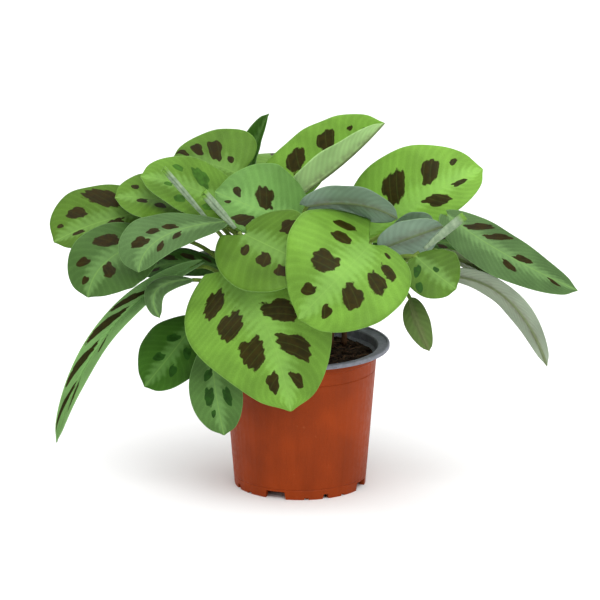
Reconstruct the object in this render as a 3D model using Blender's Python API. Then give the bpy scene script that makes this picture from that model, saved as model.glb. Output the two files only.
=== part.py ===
"""A prayer plant in its nursery pot: the pot, the potting mix in it, and the plant's leaves and shoots.

A leaf grew as one piece, so it is one solid: its stalk rises from the potting mix, bends over and
runs on as the midrib of its blade. Lengths are in millimetres here and are scaled to metres when a
mesh is made. The origin is the middle of the face that the pot stands on, -Y is the plant's front.
"""

import math
from dataclasses import dataclass

import bmesh
import bpy
import numpy as np

MM = 0.001
GAP = 0.3

# The pot, a thin round tub with a flat rim lip, from its rim and base diameters and its height.
POT_HEIGHT = 97.0
RIM_RADIUS = 60.0
COLLAR_RADIUS = 53.3
BODY_RADIUS = 51.3
BASE_RADIUS = 44.0
WALL = 1.4
LIP_HEIGHT = 3.0
COLLAR_HEIGHT = 9.0
FLOOR_HEIGHT = 7.0
FOOT_WIDTH = 3.0
CENTRE_FOOT_RADIUS = 14.0
LINE_HEIGHTS = (6.7, 80.0)
LINE_WIDTH = 1.2
LINE_DEPTH = 0.35
POT_SIDES = 64

# What is cut out of the pot's foot ring and floor, once in each quarter turn.
QUARTER_TURNS = 4
ARCH_ANGLE = -112.0
ARCH_WIDTH = 15.0
ARCH_HEIGHT = 5.2
NOTCH_ANGLE = -67.0
NOTCH_WIDTH = 5.0
NOTCH_HEIGHT = 3.2
SLOT_OFFSET = 17.5
SLOT_WIDTH = 3.6
SLOT_HEIGHT = 1.2
DRAIN_RADIUS = 4.0
DRAIN_CIRCLE = 29.0

SOIL_TOP = 90.0
SOIL_SIDES = 40

# A rolled shoot: its size against its length, and the hollow at its open end.
SHOOT_SIDES = 8
SHOOT_PROFILE = ((0.1, 0.6), (0.35, 0.85), (0.75, 1.0), (1.0, 1.05), (0.97, 0.6))
SHOOT_HOLLOW = 10.0

# Linear colours.
POT_COLOR = (0.33, 0.07, 0.022)
SOIL_COLOR = (0.02, 0.012, 0.008)
SHOOT_COLOR = (0.28, 0.40, 0.25)

# A leaf's stalk and blade.
STALK_RADIUS = 1.5
MIDRIB_END_RADIUS = 0.35
BLADE_THICKNESS = 0.7
STALK_STATIONS = (0.0, 0.2, 0.4, 0.6, 0.8, 0.94)
BLADE_STATIONS = (0.02, 0.1, 0.25, 0.42, 0.6, 0.78, 0.92)
ACROSS = (-1.0, -0.5, 0.0, 0.5, 1.0)


@dataclass(frozen=True)
class Leaf:
    """One leaf: where its stalk leaves the soil, three points on its midrib and how its blade lies.

    face is the way the blade's upper side looks. left and right are the half widths, fold and curl
    the angles in degrees by which each half lifts at the midrib and bends on towards its margin.
    """

    name: str
    foot: tuple
    base: tuple
    middle: tuple
    tip: tuple
    face: tuple
    left: float
    right: float
    fold: tuple = (8, 8)
    curl: tuple = (-12, -12)
    twist: float = 0.0
    belly: tuple = (0.9, 0.9)
    lobe: tuple = (0.1, 0.1)
    rise: float = 0.5
    lead: float = 0.35
    tint: tuple = (0.20, 0.42, 0.07)


# The leaves of the plant's front and sides.
LEAVES = [
    Leaf("leaf_front_low", (-18, -28), (-48, -58, 161), (-22, -82, 131), (-6, -82, 73),
         (-0.1, -0.85, 0.5), 43, 50, belly=(0.9, 0.75), lobe=(0.12, 0.12)),
    Leaf("leaf_front_centre", (4, -24), (45, -72, 182), (26, -98, 169), (-1, -104, 142),
         (-0.1, -0.8, 0.6), 44, 49, belly=(0.83, 0.68), lobe=(0.14, 0.50), lead=0.22),
    Leaf("leaf_centre_left", (-6, -26), (-35, -58, 186), (-13, -76, 180), (7, -84, 172),
         (-0.1, -0.75, 0.65), 30, 36, belly=(0.8, 0.75), lobe=(0.12, 0.35), rise=0.8, lead=0.05),
    Leaf("leaf_behind_centre", (6, -8), (-3, -24, 187), (-27, -33, 197), (-56, -33, 209),
         (0.0, -0.8, 0.6), 20, 34, lobe=(0.1, 0.3), lead=0.15),
    Leaf("leaf_upper_left", (-12, -6), (-40, -18, 190), (-72, -24, 209), (-105, -28, 218),
         (-0.1, -0.6, 0.8), 22, 25),
    Leaf("leaf_left_mid", (-18, -3), (-66, -16, 191), (-96, -22, 201), (-122, -26, 203),
         (0.0, -0.45, 0.9), 25, 25),
    Leaf("leaf_far_left", (-25, 0), (-90, -12, 192), (-130, -26, 187), (-162, -38, 176),
         (-0.2, -0.7, 0.7), 20, 30, belly=(1.0, 1.2)),
    Leaf("leaf_left_lower", (-31, -4), (-98, -36, 177), (-127, -58, 168), (-139, -66, 146),
         (-0.2, -0.8, 0.6), 28, 26),
    Leaf("leaf_front_left_pointed", (-17, -13), (-53, -44, 191), (-91, -74, 188), (-105, -84, 168),
         (0.0, -0.6, 0.8), 14, 22, belly=(0.9, 1.4)),
    Leaf("leaf_left_hanging", (-34, -16), (-75, -34, 156), (-128, -58, 117), (-161, -60, 45),
         (-0.3, -0.8, 0.5), 15, 10, fold=(50, 50)),
    Leaf("leaf_small_curled", (-28, -20), (-73, -48, 153), (-94, -64, 150), (-92, -62, 131),
         (-0.3, -0.6, 0.7), 8, 8),
    Leaf("leaf_lower_left_dark", (-39, -9), (-69, -22, 117), (-85, -36, 99), (-103, -42, 78),
         (-0.5, -0.8, 0.3), 24, 24, lead=0.2),
    Leaf("leaf_pot_left", (-32, -27), (-58, -46, 111), (-56, -62, 85), (-50, -60, 50),
         (-0.2, -0.95, 0.2), 18, 18, belly=(1.3, 1.3)),
    Leaf("leaf_top_left", (-7, 4), (-43, 8, 211), (-60, 10, 217), (-85, 10, 220),
         (0.0, -0.8, 0.5), 10, 29, belly=(1.0, 0.45), lobe=(0.1, 0.12), lead=0.2),
    Leaf("leaf_top_narrow", (-10, 8), (-34, 28, 203), (-30, 32, 221), (-21, 32, 246),
         (-0.3, -0.9, 0.3), 11, 9, fold=(30, 60)),
    Leaf("leaf_top_centre", (4, 1), (0, 4, 198), (30, 6, 220), (56, 6, 246),
         (-0.3, -0.8, 0.6), 38, 22, fold=(8, 110), belly=(0.7, 0.65), lobe=(0.5, 0.1), lead=0.2),
    Leaf("leaf_right_top", (9, 3), (47, -8, 173), (84, -14, 201), (121, -4, 217),
         (0.0, -0.8, 0.6), 40, 20, belly=(0.72, 1.2), lobe=(0.2, 0.1)),
    Leaf("leaf_centre_grey", (-1, -18), (6, -38, 201), (37, -46, 204), (64, -53, 196),
         (0.0, 0.7, 0.6), 20, 20, rise=0.4, lead=0.08),
    Leaf("leaf_right_silver", (12, -9), (56, -42, 174), (74, -50, 183), (94, -50, 190),
         (0.0, 0.8, 0.5), 20, 16, lead=0.2),
    Leaf("leaf_right_inner", (13, -3), (64, -26, 181), (79, -32, 187), (88, -34, 190),
         (0.0, 0.8, 0.5), 10, 12),
    Leaf("leaf_right_drooping", (16, 6), (98, -32, 192), (132, -48, 172), (183, -42, 144),
         (0.1, -0.7, 0.7), 16, 19, lobe=(0.06, 0.06), rise=0.2, lead=0.02),
    Leaf("leaf_right_under", (17, -9), (99, -30, 151), (137, -50, 140), (163, -52, 95),
         (0.3, 0.8, 0.5), 11, 11),
    Leaf("leaf_right_shaded", (16, 0), (96, -26, 165), (117, -36, 158), (130, -40, 151),
         (0.1, 0.6, 0.8), 18, 18, rise=0.6),
    Leaf("leaf_small_right", (13, -16), (77, -64, 172), (89, -74, 164), (102, -78, 155),
         (0.2, -0.8, 0.6), 20, 20, lead=0.12),
    Leaf("leaf_hanging_right", (18, -15), (73, -56, 140), (77, -64, 128), (85, -64, 109),
         (0.1, 0.9, 0.3), 9, 9),
    Leaf("leaf_inner_left", (-28, 8), (-55, -4, 150), (-82, -10, 154), (-110, -14, 148),
         (0.0, -0.3, 1.0), 18, 18),
    Leaf("leaf_inner_right", (12, 8), (52, 0, 160), (80, 2, 166), (108, 2, 162),
         (0.0, -0.5, 0.9), 18, 18),
]

# The leaves of the plant's back, which lean outwards all round it: the compass angle of each, how
# far out and how high its blade starts, how far out and how high it ends, and its half width.
BACK_LEAVES = [
    (26, 60, 165, 130, 145, 24),
    (50, 50, 178, 138, 150, 25),
    (82, 44, 168, 130, 122, 25),
    (112, 46, 186, 138, 146, 25),
    (138, 50, 168, 138, 128, 25),
    (162, 60, 176, 135, 158, 24),
    (96, 28, 196, 94, 200, 25),
    (90, 46, 146, 104, 84, 24),
    (58, 46, 138, 100, 104, 20),
    (124, 46, 138, 100, 100, 20),
    (30, 52, 140, 110, 130, 18),
    (152, 52, 140, 112, 130, 18),
]


@dataclass(frozen=True)
class Shoot:
    """A young leaf that is still rolled up: where its stalk leaves the soil, its start and its end."""

    name: str
    foot: tuple
    base: tuple
    tip: tuple
    radius: float


SHOOTS = [
    Shoot("shoot_left", (-22, -19), (-59, -41, 190), (-90, -44, 228), 2.2),
    Shoot("shoot_centre", (-12, -18), (-43, -53, 190), (-64, -56, 215), 3.2),
    Shoot("shoot_right", (8, -15), (82, -56, 177), (108, -58, 200), 3.4),
]


def unit(vectors):
    """The vectors scaled to length 1."""
    return vectors / np.linalg.norm(vectors, axis=-1, keepdims=True)


def bezier(points, along):
    """Points and unit directions on the Bezier curve with these control points."""
    points = np.asarray(points, float)
    along = np.asarray(along, float)[:, None]
    degree = len(points) - 1
    place = sum(
        math.comb(degree, i) * along**i * (1 - along) ** (degree - i) * points[i]
        for i in range(degree + 1)
    )
    steps = np.diff(points, axis=0)
    direction = sum(
        math.comb(degree - 1, i) * along**i * (1 - along) ** (degree - 1 - i) * steps[i]
        for i in range(degree)
    )
    return place, unit(direction)


def midrib_controls(leaf):
    """The quadratic Bezier through the leaf's base, middle and tip."""
    base, middle, tip = (np.array(p, float) for p in (leaf.base, leaf.middle, leaf.tip))
    return np.array([base, 2 * middle - (base + tip) / 2, tip])


def stalk_controls(leaf):
    """A stalk that rises straight out of the soil and runs smoothly into the midrib."""
    foot = np.array([*leaf.foot, SOIL_TOP + GAP])
    base, bend, _ = midrib_controls(leaf)
    span = np.linalg.norm(base - foot)
    lead = leaf.lead * span * unit(bend - base)
    return np.array([foot, foot + [0, 0, leaf.rise * span], base - lead, base])


def blade_frame(leaf, along):
    """Midrib points, with the directions along the blade, to its right and out of its upper side."""
    place, ahead = bezier(midrib_controls(leaf), along)
    face = np.array(leaf.face, float)
    up = unit(face - (ahead @ face)[:, None] * ahead)
    right = np.cross(ahead, up)
    turn = np.radians(leaf.twist) * (np.asarray(along)[:, None] - 0.5)
    across = right * np.cos(turn) + up * np.sin(turn)
    return place, ahead, across, up * np.cos(turn) - right * np.sin(turn)


def outline(belly, along):
    """A half blade's width from 0 to 1: rounded at the base and tip, fullest early if belly is small."""
    full = np.sin(np.pi * np.clip(along, 0, 1) ** belly)
    return np.clip(full, 0, 1) ** 0.55


def half_section(width, fold, curl, out):
    """How far sideways and up a half blade's points lie, at the shares out of its width."""
    start = math.radians(fold)
    bend = math.radians(curl) or 1e-6
    aside = width * (np.sin(start + bend * out) - math.sin(start)) / bend
    lift = width * (math.cos(start) - np.cos(start + bend * out)) / bend
    return aside, lift


def blade_surface(leaf, along, across):
    """Points of the blade's middle surface and its upward normals, one row for each place along."""
    along = np.asarray(along, float)
    across = np.asarray(across, float)
    place, ahead, right, up = blade_frame(leaf, along)
    length = np.linalg.norm(np.array(leaf.tip, float) - np.array(leaf.base, float))
    out = np.abs(across)
    aside_left, lift_left = half_section(1.0, leaf.fold[0], leaf.curl[0], out)
    aside_right, lift_right = half_section(1.0, leaf.fold[1], leaf.curl[1], out)
    is_left = across < 0
    aside = np.where(is_left, -leaf.left * aside_left, leaf.right * aside_right)
    lift = np.where(is_left, leaf.left * lift_left, leaf.right * lift_right)
    width_left, width_right = (outline(belly, along)[:, None] for belly in leaf.belly)
    width = np.where(is_left, width_left, width_right)
    back = -length * np.outer((1 - along) ** 3, np.where(is_left, leaf.lobe[0], leaf.lobe[1]) * out)
    points = (
        place[:, None, :]
        + right[:, None, :] * (width * aside)[..., None]
        + up[:, None, :] * (width * lift)[..., None]
        + ahead[:, None, :] * back[..., None]
    )
    slope_left = np.radians(leaf.fold[0] + leaf.curl[0] * out)
    slope_right = np.radians(leaf.fold[1] + leaf.curl[1] * out)
    lean = np.where(is_left, slope_left, -slope_right)
    lean = np.where(across == 0, math.radians(leaf.fold[0] - leaf.fold[1]) / 2, lean)
    normals = up[:, None, :] * np.cos(lean)[:, None] + right[:, None, :] * np.sin(lean)[:, None]
    return points, normals


def back_leaf(number, azimuth, start_reach, start_height, end_reach, end_height, half_width):
    """A leaf of the plant's back, arched in the upright plane at its compass angle."""
    outward = np.array([math.cos(math.radians(azimuth)), math.sin(math.radians(azimuth))])
    arch = 0.16 * math.hypot(end_reach - start_reach, end_height - start_height)
    middle_reach = (start_reach + end_reach) / 2
    middle_height = (start_height + end_height) / 2 + arch

    def place(reach, height):
        return (*(outward * reach), height)

    return Leaf(
        f"leaf_back_{number}",
        tuple(outward * (14 + 0.45 * (185 - start_height))),
        place(start_reach, start_height),
        place(middle_reach, middle_height),
        place(end_reach, end_height),
        (*(outward * 0.5), 0.85),
        half_width,
        half_width,
        belly=(0.8, 0.8),
        lobe=(0.12, 0.12),
    )


def ring(middle, direction, up, radius, sides):
    """A round section, from its left side over its top to its right and back underneath."""
    angles = math.pi - np.arange(sides) * 2 * math.pi / sides
    right = np.cross(direction, up)
    return middle + radius * (np.outer(np.cos(angles), right) + np.outer(np.sin(angles), up))


def stalk_rings(controls, up, sides):
    """Round sections from the foot upwards, their frames carried back from the upper end's."""
    place, ahead = bezier(controls, STALK_STATIONS)
    rings = []
    for middle, direction, share in reversed(list(zip(place, ahead, STALK_STATIONS))):
        up = unit(up - (up @ direction) * direction)
        radius = STALK_RADIUS * (1.25 - 0.35 * share)
        rings.append(ring(middle, direction, up, radius, sides))
    return rings[::-1]


def blade_rings(leaf):
    """Closed sections of the blade: its upper side from left to right, then back along its underside."""
    points, normals = blade_surface(leaf, BLADE_STATIONS, ACROSS)
    rings = []
    for row, normal, along in zip(points, normals, BLADE_STATIONS):
        rib = STALK_RADIUS * 0.9 * (1 - along) + MIDRIB_END_RADIUS * along
        half = np.array([0.0, 0.5, 1.0, 0.5, 0.0]) * BLADE_THICKNESS / 2
        upper = row + normal * half[:, None]
        depth = np.array([half[1], rib, half[1]])
        lower = row[1:-1] - normal[1:-1] * depth[:, None]
        rings.append(np.concatenate([upper, lower[::-1]]))
    return rings


def skin(rings, end):
    """A closed skin over the sections, with a flat face at the first and a point after the last."""
    sides = len(rings[0])
    points = np.concatenate([*rings, [end]])
    faces = [list(range(sides))]
    for start in range(0, sides * (len(rings) - 1), sides):
        for i in range(sides):
            j = (i + 1) % sides
            a, b, c, d = start + i, start + i + sides, start + j + sides, start + j
            # The upper and lower sides are split along the same diagonal, so that they never cross.
            if i < sides // 2:
                faces += [[a, b, c], [a, c, d]]
            else:
                faces += [[a, b, d], [b, c, d]]
    last = sides * (len(rings) - 1)
    faces += [[last + i, len(points) - 1, last + (i + 1) % sides] for i in range(sides)]
    return points, faces


def leaf_mesh(leaf):
    """The leaf as one closed skin, from the flat end of its stalk to the point of its blade."""
    _, _, _, up = blade_frame(leaf, [0.0])
    stalk = stalk_rings(stalk_controls(leaf), up[0], 2 * len(ACROSS) - 2)
    return skin(stalk + blade_rings(leaf), leaf.tip)


def shoot_mesh(shoot):
    """The shoot as one closed skin: its stalk, the rolled blade and the hollow at the roll's end."""
    base = np.array(shoot.base, float)
    tip = np.array(shoot.tip, float)
    foot = np.array([*shoot.foot, SOIL_TOP + GAP])
    ahead = unit(tip - base)
    span = np.linalg.norm(base - foot)
    controls = np.array([foot, foot + [0, 0, 0.45 * span], base - 0.35 * span * ahead, base])
    up = unit(np.array([0.0, -1.0, 1.0]) - (np.array([0.0, -1.0, 1.0]) @ ahead) * ahead)
    rings = stalk_rings(controls, up, SHOOT_SIDES)
    length = np.linalg.norm(tip - base)
    for share, size in SHOOT_PROFILE:
        rings.append(ring(base + share * length * ahead, ahead, up, shoot.radius * size, SHOOT_SIDES))
    return skin(rings, tip - SHOOT_HOLLOW * ahead)


def make_material(name, color, roughness):
    material = bpy.data.materials.new(name)
    material.use_nodes = True
    shader = material.node_tree.nodes["Principled BSDF"]
    shader.inputs["Base Color"].default_value = (*color, 1.0)
    shader.inputs["Roughness"].default_value = roughness
    shader.inputs["Metallic"].default_value = 0.0
    return material


def add_object(name, points, faces, material, smooth=True):
    """An object from points in millimetres, with its faces turned outwards."""
    mesh = bpy.data.meshes.new(name)
    mesh.from_pydata((np.asarray(points) * MM).tolist(), [], faces)
    shape = bmesh.new()
    shape.from_mesh(mesh)
    bmesh.ops.recalc_face_normals(shape, faces=shape.faces)
    shape.to_mesh(mesh)
    shape.free()
    if smooth:
        mesh.shade_smooth()
        mesh.set_sharp_from_angle(angle=math.radians(40))
    mesh.materials.append(material)
    made = bpy.data.objects.new(name, mesh)
    bpy.context.collection.objects.link(made)
    return made


def make_leaf(leaf):
    points, faces = leaf_mesh(leaf)
    add_object(leaf.name, points, faces, make_material(leaf.name, leaf.tint, 0.45))


def make_shoot(shoot):
    points, faces = shoot_mesh(shoot)
    add_object(shoot.name, points, faces, make_material(shoot.name, SHOOT_COLOR, 0.45))


def turned(profile, sides):
    """A closed skin turned about +Z from an outline that runs from the axis round to the axis again."""
    angles = np.arange(sides) * 2 * math.pi / sides
    circle = np.stack([np.cos(angles), np.sin(angles)], axis=1)
    first, *middle, last = profile
    points = [[0.0, 0.0, first[1]]]
    for radius, height in middle:
        points += [[*(radius * place), height] for place in circle]
    points.append([0.0, 0.0, last[1]])
    faces = []
    for i in range(sides):
        j = (i + 1) % sides
        faces.append([0, 1 + j, 1 + i])
        for start in range(1, 1 + sides * (len(middle) - 1), sides):
            faces.append([start + i, start + j, start + j + sides, start + i + sides])
        top = 1 + sides * (len(middle) - 1)
        faces.append([top + i, top + j, len(points) - 1])
    return points, faces


def outer_radius(height):
    """The tub's outer radius under its collar."""
    return BASE_RADIUS + (BODY_RADIUS - BASE_RADIUS) * height / (POT_HEIGHT - COLLAR_HEIGHT)


def moulding_lines():
    """Points of the tub's outside that dip into the fine lines round it."""
    points = []
    for height in LINE_HEIGHTS:
        for offset, depth in ((-LINE_WIDTH / 2, 0.0), (0.0, LINE_DEPTH), (LINE_WIDTH / 2, 0.0)):
            points.append((outer_radius(height + offset) - depth, height + offset))
    return points


def pot_profile():
    """The pot's outline from the middle of its underside, out and up to the lip, then down inside."""
    collar = POT_HEIGHT - COLLAR_HEIGHT
    under_lip = POT_HEIGHT - LIP_HEIGHT
    foot_inside = BASE_RADIUS - FOOT_WIDTH
    under_floor = FLOOR_HEIGHT - WALL
    return [
        (0, 0),
        (CENTRE_FOOT_RADIUS, 0),
        (CENTRE_FOOT_RADIUS + 1, under_floor),
        (foot_inside - 1, under_floor),
        (foot_inside, 0),
        (BASE_RADIUS, 0),
        *moulding_lines(),
        (outer_radius(collar), collar),
        (COLLAR_RADIUS, collar + 1.5),
        (COLLAR_RADIUS, under_lip),
        (RIM_RADIUS - 0.5, under_lip),
        (RIM_RADIUS, under_lip + 0.5),
        (RIM_RADIUS, POT_HEIGHT - 0.5),
        (RIM_RADIUS - 0.5, POT_HEIGHT),
        (RIM_RADIUS - 1.5, POT_HEIGHT),
        (RIM_RADIUS - 2.0, POT_HEIGHT - 1.0),
        (COLLAR_RADIUS - WALL + 0.5, POT_HEIGHT - 1.6),
        (COLLAR_RADIUS - WALL, POT_HEIGHT - 2.5),
        (COLLAR_RADIUS - WALL, collar + 1.5),
        (outer_radius(collar) - WALL, collar - 1.0),
        (outer_radius(FLOOR_HEIGHT) - WALL, FLOOR_HEIGHT),
        (0, FLOOR_HEIGHT),
    ]


def cut_box(angle, width, height):
    """A wedge across the foot ring at an angle, as tall as the gap that it leaves under the pot."""
    inside, outside = BASE_RADIUS - FOOT_WIDTH - 3.0, BASE_RADIUS + 4.0
    half, slope = width / 2, min(1.0, height * 0.4)
    corners = []
    for reach in (inside, outside):
        corners += [(reach, -half, -2), (reach, half, -2)]
        corners += [(reach, half - slope, height), (reach, slope - half, height)]
    turn = math.radians(angle)
    points = [
        (x * math.cos(turn) - y * math.sin(turn), x * math.sin(turn) + y * math.cos(turn), z)
        for x, y, z in corners
    ]
    faces = [[0, 1, 2, 3], [7, 6, 5, 4], [0, 4, 5, 1], [1, 5, 6, 2], [2, 6, 7, 3], [3, 7, 4, 0]]
    return points, faces


def drain_hole(angle):
    """A round peg through the pot's floor."""
    turn = math.radians(angle)
    middle = np.array([DRAIN_CIRCLE * math.cos(turn), DRAIN_CIRCLE * math.sin(turn), 0])
    points, faces = turned([(0, 3), (DRAIN_RADIUS, 3), (DRAIN_RADIUS, 11), (0, 11)], 16)
    return np.array(points) + middle, faces


def cutters():
    """Everything that is cut out of the pot's foot ring and floor, as one set of separate solids."""
    points, faces = [], []
    for quarter in range(QUARTER_TURNS):
        turn = quarter * 360 / QUARTER_TURNS
        pieces = [
            cut_box(ARCH_ANGLE + turn, ARCH_WIDTH, ARCH_HEIGHT),
            cut_box(NOTCH_ANGLE + turn, NOTCH_WIDTH, NOTCH_HEIGHT),
            cut_box(NOTCH_ANGLE - SLOT_OFFSET + turn, SLOT_WIDTH, SLOT_HEIGHT),
            cut_box(NOTCH_ANGLE + SLOT_OFFSET + turn, SLOT_WIDTH, SLOT_HEIGHT),
            drain_hole(NOTCH_ANGLE + turn),
        ]
        for more_points, more_faces in pieces:
            faces += [[len(points) + i for i in face] for face in more_faces]
            points += [tuple(place) for place in more_points]
    return points, faces


def make_pot():
    points, faces = turned(pot_profile(), POT_SIDES)
    pot = add_object("pot", points, faces, make_material("pot", POT_COLOR, 0.5))
    points, faces = cutters()
    cutter = add_object("pot_cutters", points, faces, make_material("cutter", POT_COLOR, 0.5), smooth=False)
    cutter.hide_render = True
    cutter.display_type = "WIRE"
    cut = pot.modifiers.new("foot_gaps", "BOOLEAN")
    cut.operation = "DIFFERENCE"
    cut.solver = "EXACT"
    cut.object = cutter


def make_soil():
    """The potting mix fills the pot to just under its rim, a little lower where it meets the wall."""
    collar = POT_HEIGHT - COLLAR_HEIGHT
    floor = FLOOR_HEIGHT + GAP
    clearance = WALL + GAP + 0.1
    points, faces = turned(
        [
            (0, floor),
            (outer_radius(floor) - clearance, floor),
            (outer_radius(collar - 2.0) - clearance, collar - 2.0),
            (outer_radius(collar - 2.0) - clearance - 1.0, SOIL_TOP - 1.5),
            (44, SOIL_TOP),
            (0, SOIL_TOP),
        ],
        SOIL_SIDES,
    )
    add_object("potting_mix", points, faces, make_material("potting_mix", SOIL_COLOR, 0.95))


def main():
    for old in list(bpy.data.objects):
        bpy.data.objects.remove(old, do_unlink=True)
    make_pot()
    make_soil()
    for leaf in LEAVES:
        make_leaf(leaf)
    for number, numbers in enumerate(BACK_LEAVES, 1):
        make_leaf(back_leaf(number, *numbers))
    for shoot in SHOOTS:
        make_shoot(shoot)


if __name__ == "__main__":
    main()
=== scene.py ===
"""The look of a potted prayer plant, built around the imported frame.

Every leaf is a thin closed sheet that runs from its stalk's foot in the potting mix to the tip of its
blade. The leaf table gives places in millimetres in the frame of the part; meshes are in metres.
"""

import math
from dataclasses import dataclass

import bpy
import numpy as np
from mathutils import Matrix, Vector


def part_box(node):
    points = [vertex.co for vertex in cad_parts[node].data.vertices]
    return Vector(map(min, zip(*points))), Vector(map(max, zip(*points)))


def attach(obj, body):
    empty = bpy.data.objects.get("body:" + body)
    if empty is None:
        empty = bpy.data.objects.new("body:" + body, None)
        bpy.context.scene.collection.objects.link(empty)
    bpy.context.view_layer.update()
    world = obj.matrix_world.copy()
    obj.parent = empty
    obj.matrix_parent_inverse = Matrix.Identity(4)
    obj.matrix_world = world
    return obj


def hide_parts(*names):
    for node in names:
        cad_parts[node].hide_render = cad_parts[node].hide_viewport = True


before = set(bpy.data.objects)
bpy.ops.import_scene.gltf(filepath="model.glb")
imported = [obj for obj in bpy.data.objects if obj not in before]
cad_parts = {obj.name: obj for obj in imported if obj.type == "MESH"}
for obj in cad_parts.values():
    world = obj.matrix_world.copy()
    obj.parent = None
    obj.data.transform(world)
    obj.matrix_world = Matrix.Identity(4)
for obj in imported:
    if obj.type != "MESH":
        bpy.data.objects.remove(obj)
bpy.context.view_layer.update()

MM = 0.001

# Lengths below are in millimetres, and angles in degrees, where nothing else is said.
# The height of the pot and of the potting mix, from the frame.
_, POT_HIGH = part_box("pot")
_, MIX_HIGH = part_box("potting_mix")
POT_HEIGHT = POT_HIGH[2] / MM
SOIL_TOP = MIX_HIGH[2] / MM

# How finely a leaf and a rolled shoot are built. The columns crowd towards the midrib.
STALK_STATIONS = 26
BLADE_STATIONS = 76
BLADE_START = 0.045
BLADE_END = 0.985
COLUMNS = 33
COLUMN_CROWDING = 1.25
SHOOT_COLUMNS = 40
SHOOT_STALK_COLUMNS = 10
SHOOT_STATIONS = 22

# A leaf's stalk and midrib, its blade, how full its outline is and how small its point.
STALK_RADIUS = 1.5
STALK_TOP_RADIUS = STALK_RADIUS * 0.9
STALK_FLARE = STALK_RADIUS * 0.4
MIDRIB_END_RADIUS = 0.35
BLADE_THICKNESS = 0.5
MARGIN_THICKNESS = 0.22
FULLNESS = 0.55
TIP_SHARE = 0.035
TIP_NARROWING = 0.55

# The side veins, the pleats between them and the waves along the margin.
VEIN_SPACING = 4.6
VEIN_SWEEP = 0.24
SWEEP_POWER = 1.25
PLEAT_HEIGHT = 0.09
WAVE_HEIGHT = 0.7
FULL_RELIEF_WIDTH = 25.0

# The spots have squared corners and a notch at the end that faces the base.
SPOT_SQUARENESS = 2.4
NOTCH_DEPTH = 0.75
NOTCH_WIDTH = 0.3
NOTCH_ASIDE = 0.85

# What a stalk's points hold for the distance from the margin and for the spots.
FAR_FROM_MARGIN = 9.0
NO_SPOT = -1.0

# The back leaves: how far their midribs arch, and where their stalks stand. The stalk of a blade that
# starts at BACK_START stands BACK_FOOT_REACH out, and the lower a blade starts, the further out.
BACK_ARCH = 0.16
BACK_FOOT_REACH = 14
BACK_FOOT_SPREAD = 0.45
BACK_START = 185

# A rolled shoot: where its free edge lies and how far round it turns, in radians, how much tighter it
# gets inside, how thick its sheet is, how it widens from its base, and the course of its stalk.
ROLL_START = 0.6 * math.pi
ROLL_TURN = 3.1 * math.pi
ROLL_TIGHTENING = 0.42
ROLL_THICKNESS = 0.16
ROLL_BASE_SIZE = 0.42
ROLL_FULL_AT = 0.7
ROLL_OVERLAP = 0.02
SHOOT_RISE = 0.45
SHOOT_LEAD = 0.35
ROLL_VEINS_ALONG = 12
ROLL_VEINS_ROUND = 3

# The peat: its side inside the pot as radius and height, its lumpy top and how its edge sinks.
PEAT_SIDE = ((42.9, 8.0), (49.4, 86.0))
PEAT_RADIUS = 49.4
PEAT_RINGS = 46
PEAT_SIDES = 150
PEAT_DROP = 0.6
RING_CROWDING = 0.9
EDGE_START = 44
EDGE_WIDTH = 6
EDGE_DEPTH = 2.0
CRUMBS = 420
CRUMB_ROWS = 5
CRUMB_SIDES = 7
FIBRES = 110
FIBRE_SIDES = 6
FIBRE_STATIONS = 10

# The starts of the random draws. Each leaf adds its own number to TONE_SEED.
PEAT_SEED = 11
CRUMB_SEED = 12
FIBRE_SEED = 13
TONE_SEED = 500

# The middle of the pot's wall, which parts the inside from the outside, and its grey lip.
WALL_LOW_RADIUS = 43.3
WALL_SLOPE = 0.083
COLLAR_STEP = 1.8
COLLAR_LOW = 87.0
COLLAR_HIGH = 90.0
FLOOR_TOP = 6.5
LIP_DEPTH = 3.4
LIP_BLEND = 0.5

# The studio, in metres: each light's name, place, size and power in watts, then the floor and the
# camera. Its lens and its sensor are in millimetres.
LIGHTS = (
    ("key", (0.5, -1.7, 2.2), 1.8, 39),
    ("top", (-0.4, 0.2, 2.6), 2.0, 22),
)
LIGHT_AIM = (0, 0, 0.12)
SURROUND_STRENGTH = 1.05
FLOOR_HALF = 30.0
CAMERA_ELEVATION = 15.5
CAMERA_DISTANCE = 4.0
CAMERA_AIM = (0, 0, 0.126)
CAMERA_REACH = 100
CAMERA_LENS = 360
CAMERA_SENSOR = 36

# Linear colours of a blade's upper side.
BRIGHT = (0.118, 0.246, 0.030)
YELLOWISH = (0.102, 0.215, 0.022)
BLUISH = (0.085, 0.185, 0.042)
GREYISH = (0.105, 0.205, 0.065)
# The next green is darkened with painted shade, for the leaves that lie in shade among the others.
DEEP_SHADE_GREEN = (0.028, 0.085, 0.008)

# Of its spots, its pale middle and its midrib.
BROWN = (0.017, 0.0095, 0.0005)
DARK_GREEN = (0.012, 0.050, 0.004)
SOFT_GREEN = (0.032, 0.095, 0.010)
PALE_BAND = (0.19, 0.34, 0.115)
MIDRIB_COLOR = (0.19, 0.34, 0.060)

# Of its underside.
SILVER = (0.195, 0.285, 0.205)
SILVER_PINK = (0.25, 0.305, 0.22)
PALE_GREEN = (0.40, 0.62, 0.25)
# The next is a dull dark green, partly an underside's own colour and partly painted shade, for undersides
# that lie in shade.
DULL_SHADED_GREEN = (0.085, 0.14, 0.035)
UNDER_PURPLE = (0.12, 0.09, 0.06)
UNDER_MIDRIB = (0.11, 0.15, 0.05)

# Of the stalks and the rolled shoots.
STALK_GREEN = (0.13, 0.20, 0.035)
STALK_BROWN = (0.10, 0.05, 0.025)
ROLL_SHADED = (0.16, 0.23, 0.14)
ROLL_PALE = (0.25, 0.33, 0.21)
ROLL_TIP = (0.12, 0.25, 0.03)

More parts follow.
